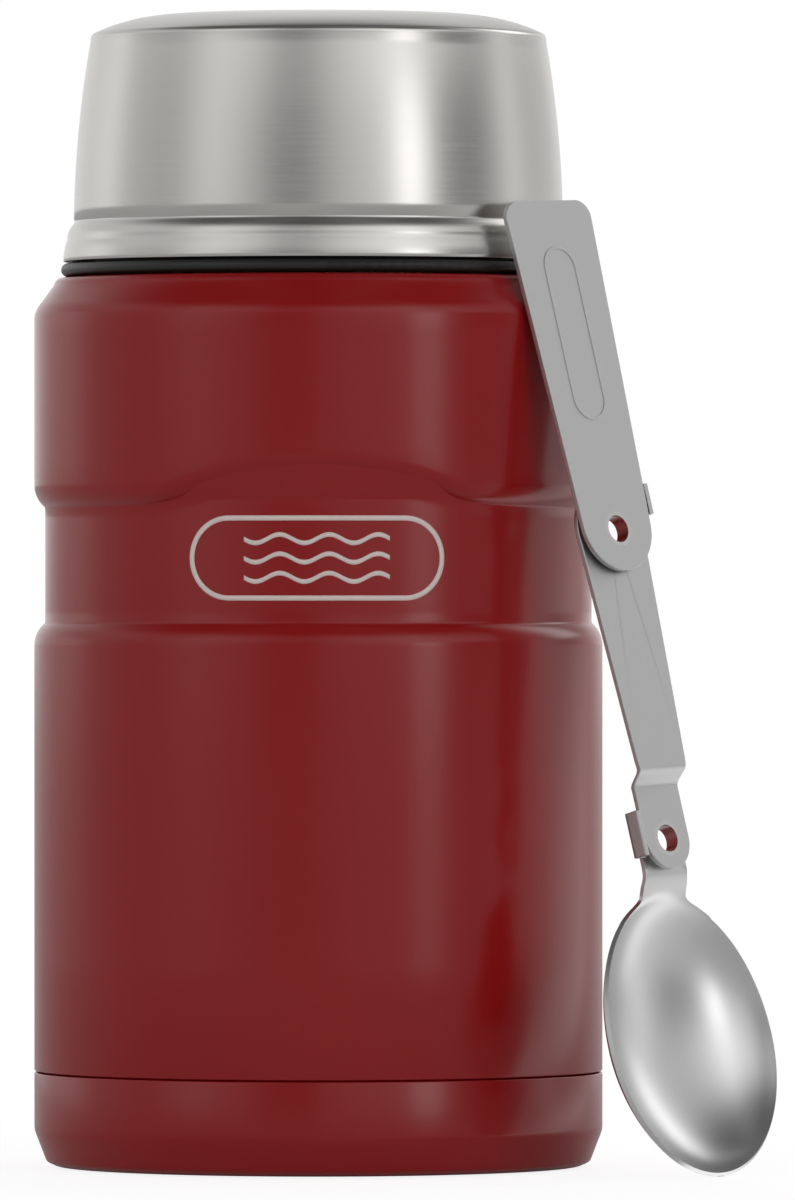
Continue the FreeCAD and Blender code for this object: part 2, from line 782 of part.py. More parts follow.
def spoon_link(placement):
    end = "link_end_radius"
    outline = plate_form("link_outline", [
        ("-link_top_radius", "0"),
        ("-link_bottom_half", "-link_bend_start"),
        (f"-{end}", "-link_bend_end"),
        (f"-{end}", "-link_reach", end, 1),
        ("0", f"-link_reach - {end}", end, 1),
        (end, "-link_reach"),
        (end, "-link_bend_end"),
        ("link_bottom_half", "-link_bend_start"),
        ("link_top_radius", "0", "link_top_radius", 1),
        ("0", "link_top_radius", "link_top_radius", 1),
    ], f"{LOWER_FRONT} - 2 * plate", "link_set_back + 3 * plate")
    strip = shared("link_plate", [link_strip(), outline])
    stop_left = "(grip_end_radius + stop_clearance)"
    ear = stop_lug("link_ear", "0", "grip_stop_bottom", f"{LINK_FRONT} - plate",
                   f"{stop_left} + plate", "grip_stop_length", "plate")
    lug = stop_lug("link_lug", stop_left, "grip_stop_bottom", f"{LINK_FRONT} - plate",
                   "plate", "grip_stop_length", "2 * plate + plate_gap")
    blank = joined("link_blank", [strip, ear, lug])
    upper_seat = rivet_form("link_upper_seat", "0", "plate", "0", "0")
    lower_seat = rivet_form("link_lower_seat", "-link_reach", LOWER_FRONT, "0", "0")
    seats = joined("link_seats", [upper_seat, lower_seat])
    finish("spoon_link", cut("spoon_link", blank, seats), placement)


def bowl_form(name, grown):
    """Two half ellipsoids, a long one towards the neck and a short one towards the tip."""
    depth = f"(bowl_depth + bowl_centre_rise + {grown})"
    spread = f"sqrt(1 - (bowl_centre_rise / (bowl_depth + bowl_centre_rise + spoon_wall)) ^ 2)"
    middle = ("0", "-link_reach - bowl_station", f"{BOWL_RIM} + bowl_centre_rise")
    halves = []
    for side, length, turn in (("upper", "bowl_upper_length", 0), ("lower", "bowl_lower_length", 180)):
        half = doc.addObject("Part::Ellipsoid", f"{name}_{side}")
        half.Placement = FreeCAD.Placement(
            FreeCAD.Vector(0, 0, 0), FreeCAD.Rotation(FreeCAD.Vector(0, 0, 1), turn))
        bind(half, Radius1=depth,
             Radius2=f"bowl_half_width / {spread} - spoon_wall + {grown}",
             Radius3=f"{length} / {spread} - spoon_wall + {grown}")
        half.Angle1 = -90
        half.Angle2 = 0
        half.Angle3 = 180
        for axis, text in zip("xyz", middle):
            bind(half, **{"Placement.Base." + axis: text})
        halves.append(half)
    return joined(name, halves)


def neck_strip():
    """The head's plate from its side: it dips from the hub to the rim of the bowl."""
    top = "-link_reach + link_end_radius + cut_margin"
    bend = "-link_reach - neck_bend_start"
    rim = "-link_reach - neck_bend_end"
    end = "-link_reach - bowl_station + bowl_upper_length - neck_overlap"
    return side_form("neck_strip", [
        (top, HEAD_FRONT),
        (top, f"{HEAD_FRONT} - plate"),
        (bend, f"{HEAD_FRONT} - plate"),
        (rim, f"{BOWL_RIM} - plate"),
        (end, f"{BOWL_RIM} - plate"),
        (end, BOWL_RIM),
        (rim, BOWL_RIM),
        (bend, HEAD_FRONT),
    ], "neck_half + neck_flare + cut_margin")


def spoon_head(placement):
    flare_start = "-link_reach - neck_length"
    flare_end = "-link_reach - neck_length - neck_flare"
    outline = plate_form("neck_outline", [
        ("-neck_half", "-link_reach"),
        ("-neck_half", flare_start, "neck_flare", -1),
        ("-neck_half - neck_flare", flare_end),
        ("neck_half + neck_flare", flare_end, "neck_flare", -1),
        ("neck_half", flare_start),
        ("neck_half", "-link_reach", "neck_half", 1),
        ("0", "-link_reach + neck_half", "neck_half", 1),
    ], f"{BOWL_RIM} - 2 * plate", "bowl_set_back + 3 * plate")
    neck = shared("neck_plate", [neck_strip(), outline])
    stop_right = "(-link_end_radius - stop_clearance)"
    stop_bottom = "(-link_reach - head_stop_drop)"
    ear = stop_lug("head_ear", f"{stop_right} - plate", stop_bottom, f"{HEAD_FRONT} - plate",
                   f"-{stop_right} + plate", "head_stop_length", "plate")
    lug = stop_lug("head_lug", f"{stop_right} - plate", stop_bottom, f"{HEAD_FRONT} - plate",
                   "plate", "head_stop_length", "head_stop_height + plate")
    inside = bowl_form("bowl_hollow", "0")
    outside = bowl_form("bowl_solid", "spoon_wall")
    tip = "-link_reach - bowl_station - bowl_lower_length"
    above = primitive("Box", "above_rim",
                      ("-bowl_half_width - cut_margin", f"{tip} - cut_margin", BOWL_RIM),
                      Length="2 * (bowl_half_width + cut_margin)",
                      Width="bowl_upper_length + bowl_lower_length + 2 * cut_margin",
                      Height="bowl_centre_rise + cut_margin")
    shell = cut("bowl_shell", cut("bowl_trimmed", outside, above), inside)
    plates = cut("neck_trimmed", joined("neck_blank", [neck, ear, lug]), inside)
    blank = joined("head_blank", [shell, plates])
    seat = rivet_form("head_seat", "-link_reach", LOWER_FRONT, "0", "fit_clearance")
    finish("spoon_head", cut("spoon_head", blank, seat), placement)


def rivets(placement):
    upper = rivet_form("grip_rivet", "0", "plate", "rivet_bore", "0")
    lower = rivet_form("head_rivet", "-link_reach", LOWER_FRONT, "rivet_bore", "0")
    for rivet in (upper, lower):
        shift = rivet.Placement.Base
        rivet.setExpression("Placement.Base.y", None)
        whole = placement.multiply(FreeCAD.Placement(shift, FreeCAD.Rotation()))
        finish(rivet.Name, rivet, whole)


def build():
    fill_sheet()
    outer_shell()
    base_cup()
    shell_bottom()
    vacuum_seal_plug()
    getter_capsule()
    inner_liner()
    radiation_foil()
    stopper_tray()
    stopper_cap()
    stopper_plug()
    stopper_foam()
    flat_ring("stopper_gasket", "gasket_inner_radius", "gasket_outer_radius",
              "neck_top + fit_clearance", "gasket_thickness")
    lid_shell()
    lid_liner()
    lid_thread_ring()
    bowl_inner = "bowl_radius - steel_wall - lid_gasket_gap"
    flat_ring("lid_gasket", f"{bowl_inner} - lid_gasket_width", bowl_inner,
              f"{BRIDGE_TOP} + 2 * fit_clearance", "lid_gasket_thickness")
    placement = spoon_placement()
    spoon_grip(placement)
    spoon_link(placement)
    spoon_head(placement)
    rivets(placement)
    doc.recompute()
    return placement


def check_and_write():
    for feature in doc.Objects:
        if "Invalid" in feature.State or "Error" in feature.State:
            raise RuntimeError(f"{feature.Name} failed: {feature.State}")
    os.makedirs("parts", exist_ok=True)
    for feature in finished:
        shape = feature.Shape
        if shape.isNull() or not shape.isValid():
            raise RuntimeError(feature.Label + " has no valid shape")
        shape.exportStep(f"parts/{feature.Label}.step")
        box = shape.BoundBox
        print(f"{feature.Label:18s} {len(shape.Solids)} solid {shape.Volume:10.1f} mm3"
              f"  z {box.ZMin:7.2f} to {box.ZMax:7.2f}")


spoon_frame = build()
check_and_write()
print("spoon hub at", spoon_frame.Base, "turned", spoon_frame.Rotation.Q)
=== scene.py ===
"""Looks of the insulated food jar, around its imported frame.

Sizes are in millimetres, and MM turns them into Blender's metres.
"""
import json
import math

import bmesh
import bpy
from mathutils import Matrix, Vector


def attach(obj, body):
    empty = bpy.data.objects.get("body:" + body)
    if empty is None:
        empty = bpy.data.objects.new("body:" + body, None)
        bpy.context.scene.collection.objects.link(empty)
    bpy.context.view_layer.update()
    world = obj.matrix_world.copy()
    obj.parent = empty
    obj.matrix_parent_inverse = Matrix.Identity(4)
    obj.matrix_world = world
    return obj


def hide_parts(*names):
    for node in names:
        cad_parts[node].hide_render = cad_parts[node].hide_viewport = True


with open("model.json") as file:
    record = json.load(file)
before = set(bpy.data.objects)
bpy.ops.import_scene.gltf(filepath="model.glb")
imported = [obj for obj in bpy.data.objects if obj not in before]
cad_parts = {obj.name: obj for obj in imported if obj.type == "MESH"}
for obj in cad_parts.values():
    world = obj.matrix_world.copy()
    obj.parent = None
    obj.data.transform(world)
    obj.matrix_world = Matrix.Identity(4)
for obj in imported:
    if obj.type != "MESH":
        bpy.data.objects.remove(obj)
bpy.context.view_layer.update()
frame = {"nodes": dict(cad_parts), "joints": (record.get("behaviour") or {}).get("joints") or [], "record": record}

MM = 0.001

# jar: casing, its recess band with the arch, and its shoulder
JAR_SEGMENTS = 384
BODY_RADIUS = 51.0
STEEL_WALL = 0.6
TUCK_RADIUS = 50.35
TUCK_BOTTOM = 9.0
SEAM_HEIGHT = 17.1
SEAM_GAP = 0.3
SEAM_ROUND = 0.22
SEAM_ROUND_MIDDLE = 0.06
WALL_RINGS = (20.0, 50.0)
RECESS_DEPTH = 1.95
RECESS_START = 93.4
RECESS_BOTTOM = 97.4
RECESS_TOP = 118.1
RECESS_END = 122.1
HOLLOW_HEIGHT = 0.35
HOLLOW_STEP = (0.12, 0.1)
ARCH_RADIUS = 65.0
ARCH_TOP = 123.8
ARCH_SOFTNESS = 1.6
SHOULDER_HEIGHT = 152.2
SHOULDER_LEAD = 0.2
SHOULDER_ROUND = 5.2
BEVEL_BOTTOM = (49.6, 155.0)
BEVEL_MIDDLE = (48.4, 156.7)
BEVEL_TOP = (47.55, 157.8)
ROLL_START = (47.45, 157.9)
ROLL_END = (46.0, 159.3)
ROLL_ROUND = 1.5
RIM_DIP_OUTER = 44.5
RIM_DIP_INNER = 44.0
RIM_HEIGHT = 158.9
NECK_RADIUS = 37.05
BEVEL_INSIDE = [(46.2, 158.3), (48.9, 155.0)]

# jar: cap under the casing
DISH_HEIGHT = 2.0
DISH_RADIUS = 38.0
FOOT_INNER_RADIUS = 40.0
FOOT_OUTER_RADIUS = 47.0
FOOT_TURN = (48.8, 0.8)
BASE_WALL_START = 6.5

# plain badge on the recess
BADGE_HEIGHT = 109.0
BADGE_HALF_LENGTH = 23.3
BADGE_END_RADIUS = 7.5
BADGE_LINE = 0.9
BADGE_PROUD = 0.06
BADGE_END_STEPS = 40
PIECES_PER_MM = 1.2
LINE_ROOT = -0.1
WAVE_ROWS = (-3.4, 0.0, 3.4)
WAVE_LENGTH = 26.0
WAVE_STEPS = 80
WAVE_SWING = 0.75
WAVE_PACE = 0.72
WAVE_HALF_LINE = 0.42

# lid
LID_SEGMENTS = 320
LID_MOUTH_HEIGHT = 162.2
LID_LIP = (45.8, 162.35)
LIP_CHAMFER = 0.08
BAND_LOWER_ROUND = 12.0
BAND_MIDDLE = (45.1, 166.1)
BAND_UPPER_ROUND = 4.0
BAND_TOP = (44.0, 168.9)
STEP_HOLLOW = [(43.84, 169.15), (43.74, 169.4), (43.77, 169.62)]
LID_WALL_FOOT = (43.9, 169.8)
LID_WALL_ROUND = 200.0
LID_WALL_TOP = (40.9, 201.8)
DOME_EDGE_ROUND = 1.2
DOME_EDGE = (40.2, 203.2)
DOME_ROUND = 34.0
DOME_FLAT = (27.0, 206.4)
DOME_CROWN = [(20.0, 206.67), (13.0, 206.86), (6.0, 206.97), (0.0, 207.0)]
LID_INSIDE = [
    (0.0, 206.4), (26.7, 205.8), (39.6, 202.6), (40.3, 201.6), (42.6, 186.0), (43.3, 169.8),
    (42.85, 169.2), (43.4, 168.7), (44.5, 166.1), (45.2, 162.35), (45.28, 162.2),
]

# folding spoon, in its own plane: x across, y along the handle, z out of the front
PLATE = 1.0
PLATE_GAP = 0.8
SPOON_YAW = 45.0
SPOON_LEAN = 15.0
SPOON_TILT = 2.3
BORE_STEPS = 48
HUB_BORE = 2.95
STOP_CLEARANCE = 0.4
GRIP_REACH = 60.4
GRIP_TOP_HALF = 10.95
GRIP_CORNER = 3.2
GRIP_END_RADIUS = 8.6
GRIP_END_RISE = 1.0
GRIP_RING_STATION = 36.0
GRIP_RING_HALF_LENGTH = 16.0
GRIP_RING_END_RADIUS = 4.1
GRIP_RING_LINE = 0.5
GRIP_RING_PROUD = 0.12
LINK_REACH = 55.4
LINK_TOP_RADIUS = 8.3
LINK_END_RADIUS = 5.5
LINK_BEND_HALF = 6.1
LINK_BEND_START = -41.6
LINK_BEND_END = -46.4
LINK_BORE = 2.9
LINK_SET_BACK = 2.7
JOGGLE_START = -42.9
JOGGLE_END = -46.0
JOGGLE_CUTS = [-42.5 - 0.25 * step for step in range(16)]
LINK_STOP_BOTTOM = 2.4
LINK_STOP_TOP = 8.0
LINK_EAR_START = 7.0
LINK_LUG_ROOT = 0.2

# spoon's head, with y counted from its own hinge
HEAD_FRONT = -2 * PLATE_GAP - LINK_SET_BACK - PLATE
BOWL_RIM = HEAD_FRONT - 2.3
BOWL_HALF = 20.28
BOWL_UPPER = 25.9
BOWL_LOWER = 23.9
BOWL_STATION = 35.8
BOWL_DEPTH = 8.3
BOWL_RISE = 3.0
SPOON_WALL = 0.8
NECK_HALF = 5.3
NECK_SPLIT = -6.0
NECK_END = -14.0
NECK_DIP_START = -5.0
NECK_DIP_LENGTH = 6.0
NECK_SOFTNESS = 2.2
NECK_SOFTENING = 2.0
RIM_SOFTNESS = 0.8
HEAD_ROWS = 130
HEAD_COLUMNS = 48
NECK_SIDE_STEPS = 8
HEAD_STOP_DROP = 2.8
HEAD_STOP_LENGTH = 8.2
HEAD_EAR_END = -4.4
HEAD_LUG_HEIGHT = 3.1
HEAD_LUG_ROOT = 0.02

# photo's camera: level, a long way off, its picture's centre a little under the horizon
CAMERA_DISTANCE = 2430.0
CAMERA_ACROSS = 14.2
CAMERA_HEIGHT = 106.9
PICTURE_CENTRE_HEIGHT = 101.5
PICTURE_TALL = 215.5
SENSOR = 36.0
NEAREST_SEEN = 0.1
FARTHEST_SEEN = 100.0

# floor, in metres: its glow and shade are for the camera, its grey is for the light it throws back
FLOOR_SIZE = 40.0
FLOOR_DROP = 0.0002
FLOOR_GLOW = 0.86
FLOOR_SHADE = 0.22
FLOOR_GREY = 0.8
BESIDE_SPOON = (0.064, -0.055, 0.0)

# The studio that the object mirrors: degrees from the camera towards the right, and brightness.
# Level with the object:
STUDIO = [
    (-180, 1.0), (-160, 0.95), (-138, 0.85), (-118, 1.08), (-98, 0.6), (-75, 0.5), (-50, 0.95),
    (-34, 0.68), (-18, 0.28), (-4, 0.25), (3, 0.55), (20, 0.75), (36, 0.85), (42, 2.5), (49, 2.5),
    (54, 0.65), (64, 0.23), (82, 0.23), (92, 0.5), (104, 1.0), (120, 0.6), (141, 0.7), (160, 0.95),
    (180, 1.0),
]
# Well above the horizon:
CANOPY = [
    (-180, 0.8), (-100, 0.7), (-75, 0.6), (-50, 1.0), (-32, 0.85), (-16, 0.45), (-3, 0.45),
    (3, 0.7), (20, 0.95), (36, 1.15), (44, 1.5), (52, 1.15), (66, 0.78), (80, 0.6), (95, 0.58),
    (112, 0.75), (122, 2.3), (132, 2.3), (144, 0.5), (180, 0.8),
]
# Painted light: a pool of glow on the floor beside the spoon, which only mirroring surfaces see, by direction as
# seen from beside the spoon:
POOL = [
    (-180, 0.06), (60, 0.06), (80, 0.2), (104, 0.35), (118, 0.9), (134, 0.9), (146, 0.2),
    (180, 0.06),
]
# Sines of the elevations where the canopy takes over, and where the dark zenith does:
CANOPY_FROM, CANOPY_FULL = 0.20, 0.32
ZENITH_FROM, ZENITH_FULL = 0.52, 0.84
ZENITH_SHARE = 0.16


# Outlines


def arc(start, end, radius, side, steps=8):
    """Points after start up to end; side +1 has the centre left of the way there."""
    a, b = Vector(start), Vector(end)
    chord = b - a
    rise = math.sqrt(max(radius ** 2 - (chord.length / 2) ** 2, 0.0))
    centre = (a + b) / 2 + Vector((-chord.y, chord.x)).normalized() * rise * side
    return turned_points(centre, a - centre, b - centre, steps)[1:]


def turned_points(centre, first, last, steps):
    """Points round a centre, from the arm first to the arm last."""
    turn = first.angle_signed(last)
    points = []
    for step in range(steps + 1):
        arm = Matrix.Rotation(-turn * step / steps, 2) @ first
        points.append(tuple(centre + arm))
    return points


def rounded(corners, steps=4):
    """Closed outline from (x, y) or (x, y, fillet radius) corners, the fillets as short arcs."""
    points = []
    for index, corner in enumerate(corners):
        here = Vector(corner[:2])
        if len(corner) == 2:
            points.append(tuple(here))
            continue
        fillet = corner[2]
        before = Vector(corners[index - 1][:2])
        after = Vector(corners[(index + 1) % len(corners)][:2])
        back = (before - here).normalized()
        ahead = (after - here).normalized()
        half = back.angle(ahead) / 2
        reach = fillet / math.tan(half)
        centre = here + (back + ahead).normalized() * fillet / math.sin(half)
        first = here + back * reach - centre
        last = here + ahead * reach - centre
        points += turned_points(centre, first, last, steps)
    return points


def points_at(angles, radius, centre):
    """Points of a circle at the given angles."""
    return [(centre[0] + radius * math.cos(angle), centre[1] + radius * math.sin(angle))
            for angle in angles]


def circle_points(radius, steps, centre=(0.0, 0.0)):
    """Points all round a circle."""
    return points_at([2 * math.pi * k / steps for k in range(steps)], radius, centre)


def half_circle(radius, steps, centre=(0.0, 0.0), start=0.0):
    """Points along half a circle, with both its ends."""
    return points_at([start + math.pi * k / steps for k in range(steps + 1)], radius, centre)


def stadium(half_length, end_radius, steps=20):
    """Points round a stadium that lies along y."""
    straight = half_length - end_radius
    top = [(x, y + straight) for x, y in half_circle(end_radius, steps)]
    return top + [(-x, -y) for x, y in top]


def cut_up(outline):
    """The outline with its long straight runs cut up, so that it can follow a round wall."""
    points = []
    for index, here in enumerate(outline):
        there = outline[(index + 1) % len(outline)]
        count = math.ceil(math.dist(here, there) * PIECES_PER_MM)
        for step in range(count):
            share = step / count
            points.append((here[0] + (there[0] - here[0]) * share,
                           here[1] + (there[1] - here[1]) * share))
    return points


def smooth_max(a, b, softness):
    """The larger of two values, with the corner between them rounded off."""
    return (a + b + math.sqrt((a - b) ** 2 + softness ** 2)) / 2


def smooth_share(value, start, end):
    """0 at start, 1 at end, and a soft S between them."""
    share = min(max((value - start) / (end - start), 0.0), 1.0)
    return share * share * (3 - 2 * share)


# Meshes


def new_piece(name, mesh_maker, body, material, nodes=()):
    """A mesh object, in metres, that rides on a body and stands for CAD nodes."""
    form = bmesh.new()
    mesh_maker(form)
    bmesh.ops.recalc_face_normals(form, faces=form.faces)
    mesh = bpy.data.meshes.new(name)
    form.to_mesh(mesh)
    form.free()
    piece = bpy.data.objects.new(name, mesh)
    bpy.context.scene.collection.objects.link(piece)
    for face in mesh.polygons:
        face.use_smooth = True
    mesh.materials.append(material)
    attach(piece, body)
    if nodes:
        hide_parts(*nodes)
    return piece


def sharpen(piece):
    """Flat faces for a stamped plate, so that only its rounded edges are shaded softly."""
    for face in piece.data.polygons:
        face.use_smooth = False
    return piece


def soften(piece, width, angle=25.0, segments=3):
    """Small rounded edges that catch the light."""
    bevel = piece.modifiers.new("edges", "BEVEL")
    bevel.width = width * MM
    bevel.segments = segments
    bevel.limit_method = "ANGLE"
    bevel.angle_limit = math.radians(angle)
    return bevel


def bridge(form, here, there, closed=True):
    """Faces between two rows of vertices."""
    last = len(here) if closed else len(here) - 1
    for index in range(last):
        after = (index + 1) % len(here)
        form.faces.new((here[index], here[after], there[after], there[index]))


def lathe(outline, segments, lift=None):
    """Maker of a ring-shaped solid: a closed outline of (radius, height) turned about Z.

    A point with a third number follows the lift by that share.
    """
    def make(form):
        rings = []
        for segment in range(segments):
            angle = 2 * math.pi * segment / segments
            ring = []
            for radius, height, *follow in outline:
                if lift and follow:
                    height += follow[0] * lift(radius * math.sin(angle), math.cos(angle))
                ring.append(form.verts.new((radius * math.sin(angle) * MM,
                                            -radius * math.cos(angle) * MM, height * MM)))
            rings.append(ring)
        for segment in range(segments):
            bridge(form, rings[segment], rings[(segment + 1) % segments])
        bmesh.ops.remove_doubles(form, verts=form.verts, dist=1e-7)
    return make


def raised_line(form, inner, outer, place, root, top, closed=True):
    """A flat-topped line between two rails, set by place(u, v, height)."""
    rails = []
    for rail, height in ((inner, root), (inner, top), (outer, top), (outer, root)):
        rails.append([form.verts.new(place(u, v, height)) for u, v in rail])
    for k in range(4):
        bridge(form, rails[k], rails[(k + 1) % 4], closed)
    if not closed:
        for end in (0, -1):
            form.faces.new([rail[end] for rail in rails])


def pierced_sheet(form, outline, holes, bottom, cuts=()):
    """A plate with round holes; cuts are places along y where it will bend."""
    edges = []
    for points in [outline] + holes:
        ring = [form.verts.new((x, y, bottom)) for x, y in points]
        edges += [form.edges.new((ring[k], ring[(k + 1) % len(ring)])) for k in range(len(ring))]
    bmesh.ops.triangle_fill(form, use_beauty=True, use_dissolve=False, edges=edges)
    for place in cuts:
        geometry = form.verts[:] + form.edges[:] + form.faces[:]
        bmesh.ops.bisect_plane(form, geom=geometry, plane_co=(0, place, 0),
                               plane_no=(0, 1, 0), dist=1e-5)
    if not cuts:
        bmesh.ops.dissolve_limit(form, angle_limit=0.001, verts=form.verts, edges=form.edges)
    raised = bmesh.ops.extrude_face_region(form, geom=form.faces[:], use_keep_orig=True)
    for item in raised["geom"]:
        if isinstance(item, bmesh.types.BMVert):
            item.co.z += PLATE


def block(form, left, right, low, high, bottom, top):
    """A block with its own edges, such as a bent-up lug."""
    corners = [(left, low), (right, low), (right, high), (left, high)]
    lower = [form.verts.new((x, y, bottom)) for x, y in corners]
    upper = [form.verts.new((x, y, top)) for x, y in corners]
    form.faces.new(lower)
    form.faces.new(upper)
    bridge(form, lower, upper)


# Jar


def arch_lift(across, facing):
    """How far the recess's top edge rises, at a place across the front, to form the arch."""
    if facing <= 0 or abs(across) >= ARCH_RADIUS:
        return 0.0
    arch = ARCH_TOP - ARCH_RADIUS + math.sqrt(ARCH_RADIUS ** 2 - across ** 2)
    return smooth_max(arch - RECESS_TOP, 0.0, ARCH_SOFTNESS)


def recess_shoulder(wall_height, outer_height):
    """From the recess's wall out to the body in a soft round."""
    waist = BODY_RADIUS - RECESS_DEPTH
    rise = abs(outer_height - wall_height)
    radius = (RECESS_DEPTH ** 2 + rise ** 2) / (2 * RECESS_DEPTH)
    side = 1 if outer_height > wall_height else -1
    start = (waist, wall_height)
    return arc(start, (BODY_RADIUS, outer_height), radius, side, steps=14)


def casing_recess():
    """The recess band, with how far each point of its upper part follows the arch."""
    waist = BODY_RADIUS - RECESS_DEPTH
    step_out, step_along = HOLLOW_STEP
    outline = recess_shoulder(RECESS_BOTTOM, RECESS_START)[::-1]
    outline += [(waist + step_out, RECESS_BOTTOM - step_along),
                (waist, RECESS_BOTTOM + HOLLOW_HEIGHT)]
    span = RECESS_TOP - RECESS_BOTTOM
    for share in (0.1, 0.3, 0.5, 0.7, 0.9):
        outline.append((waist, RECESS_BOTTOM + span * share, share ** 2))
    outline += [(waist, RECESS_TOP - HOLLOW_HEIGHT, 1.0),
                (waist + step_out, RECESS_TOP + step_along, 1.0)]
    outline += [(x, y, 1.0) for x, y in recess_shoulder(RECESS_TOP, RECESS_END)]
    for share in (0.15, 0.3, 0.45, 0.6, 0.75, 0.9):
        height = RECESS_END + (SHOULDER_HEIGHT - RECESS_END) * share
        outline.append((BODY_RADIUS, height, (1 - share) ** 2))
    return outline


def casing_inside():
    """Down the inside of the casing's sheet, from the rolled edge to the tuck."""
    inner = BODY_RADIUS - STEEL_WALL
    inner_waist = inner - RECESS_DEPTH
    inner_tuck = TUCK_RADIUS - STEEL_WALL
    return BEVEL_INSIDE + [
        (inner, SHOULDER_HEIGHT),
        (inner, RECESS_END),
        (inner_waist, RECESS_TOP),
        (inner_waist, RECESS_BOTTOM),
        (inner, RECESS_START),
        (inner, SEAM_HEIGHT + 1),
        (inner_tuck, SEAM_HEIGHT),
        (inner_tuck, TUCK_BOTTOM),
    ]


def casing_foot():
    """From the tuck inside the cap, out over the seam and up the wall."""
    outline = [
        (TUCK_RADIUS, TUCK_BOTTOM),
        (TUCK_RADIUS, SEAM_HEIGHT),
        (BODY_RADIUS - SEAM_ROUND, SEAM_HEIGHT),
        (BODY_RADIUS - SEAM_ROUND_MIDDLE, SEAM_HEIGHT + SEAM_ROUND_MIDDLE),
        (BODY_RADIUS, SEAM_HEIGHT + SEAM_ROUND),
    ]
    return outline + [(BODY_RADIUS, SEAM_HEIGHT + rise) for rise in WALL_RINGS]


def casing_shoulder():
    """Round the shoulder, up the bevel and over the rolled edge to the mouth."""
    outline = [(BODY_RADIUS, SHOULDER_HEIGHT - SHOULDER_LEAD)]
    outline += arc((BODY_RADIUS, SHOULDER_HEIGHT), BEVEL_BOTTOM, SHOULDER_ROUND, 1, steps=8)
    outline += [BEVEL_MIDDLE, BEVEL_TOP]
    outline += arc(ROLL_START, ROLL_END, ROLL_ROUND, 1, steps=6)
    return outline + [
        (RIM_DIP_OUTER, ROLL_END[1]),
        (RIM_DIP_INNER, RIM_HEIGHT),
        (NECK_RADIUS, RIM_HEIGHT),
        (NECK_RADIUS, RIM_HEIGHT - STEEL_WALL),
    ]


def casing_outline():
    """The casing's sheet: up its outside and back down its inside."""
    return casing_foot() + casing_recess() + casing_shoulder() + casing_inside()


def base_outline():
    """The cap under the jar: dished middle, standing ring and wall, as one sheet."""
    top = SEAM_HEIGHT - SEAM_GAP
    inner = BODY_RADIUS - STEEL_WALL
    return rounded([
        (0.0, DISH_HEIGHT),
        (DISH_RADIUS, DISH_HEIGHT, 1.0),
        (FOOT_INNER_RADIUS, 0.0, 0.6),
        (FOOT_OUTER_RADIUS, 0.0, 2.0),
        (*FOOT_TURN, 1.2),
        (BODY_RADIUS, BASE_WALL_START, 4.0),
        (BODY_RADIUS, top, 0.2),
        (inner, top, 0.2),
        (inner, BASE_WALL_START),
        (FOOT_TURN[0] - STEEL_WALL, 1.1),
        (FOOT_OUTER_RADIUS - STEEL_WALL, STEEL_WALL),
        (FOOT_INNER_RADIUS + 0.3, STEEL_WALL),
        (DISH_RADIUS + 0.3, DISH_HEIGHT + STEEL_WALL),
        (0.0, DISH_HEIGHT + STEEL_WALL),
    ])


def badge_place(u, v, height):
    """A point of the badge on the recess's wall: u across, v up."""
    wall = BODY_RADIUS - RECESS_DEPTH
    angle = u / wall
    radius = wall + height
    return (radius * math.sin(angle) * MM, -radius * math.cos(angle) * MM,
            (BADGE_HEIGHT + v) * MM)


def badge_wave(offset, side):
    """One edge of a wavy line."""
    edge = []
    for k in range(WAVE_STEPS + 1):
        u = -WAVE_LENGTH / 2 + WAVE_LENGTH * k / WAVE_STEPS
        edge.append((u, offset + WAVE_SWING * math.sin(u * WAVE_PACE) + WAVE_HALF_LINE * side))
    return edge


def badge_maker(form):
    """A plain stadium line with three waves in it, a thin layer proud of the recess."""
    inner = stadium(BADGE_HALF_LENGTH - BADGE_LINE, BADGE_END_RADIUS - BADGE_LINE,
                    BADGE_END_STEPS)
    outer = stadium(BADGE_HALF_LENGTH, BADGE_END_RADIUS, BADGE_END_STEPS)
    rails = [cut_up([(y, x) for x, y in outline]) for outline in (inner, outer)]
    raised_line(form, *rails, badge_place, LINE_ROOT, BADGE_PROUD)
    for offset in WAVE_ROWS:
        raised_line(form, badge_wave(offset, 1), badge_wave(offset, -1), badge_place,
                    LINE_ROOT, BADGE_PROUD, closed=False)


def make_jar(paint, print_white):
    new_piece("casing", lathe(casing_outline(), JAR_SEGMENTS, arch_lift), "jar", paint,
              ["outer_shell"])
    new_piece("base", lathe(base_outline(), JAR_SEGMENTS), "jar", paint,
              ["base_cup"])
    new_piece("badge", badge_maker, "jar", print_white)


# Lid


def lid_outline():
    """Up the outside of the lid to the top of its dome, and back down the inside."""
    outside = [(LID_LIP[0] - LIP_CHAMFER, LID_MOUTH_HEIGHT), LID_LIP]
    outside += arc(LID_LIP, BAND_MIDDLE, BAND_LOWER_ROUND, 1, steps=6)
    outside += arc(BAND_MIDDLE, BAND_TOP, BAND_UPPER_ROUND, 1, steps=8)
    outside += STEP_HOLLOW
    outside += [LID_WALL_FOOT]
    outside += arc(LID_WALL_FOOT, LID_WALL_TOP, LID_WALL_ROUND, 1, steps=16)
    outside += arc(LID_WALL_TOP, DOME_EDGE, DOME_EDGE_ROUND, 1, steps=6)
    outside += arc(DOME_EDGE, DOME_FLAT, DOME_ROUND, 1, steps=14)
    return outside + DOME_CROWN + LID_INSIDE


def make_lid(steel):
    new_piece("lid_cover", lathe(lid_outline(), LID_SEGMENTS), "lid", steel,
              ["lid_shell"])


# Folding spoon


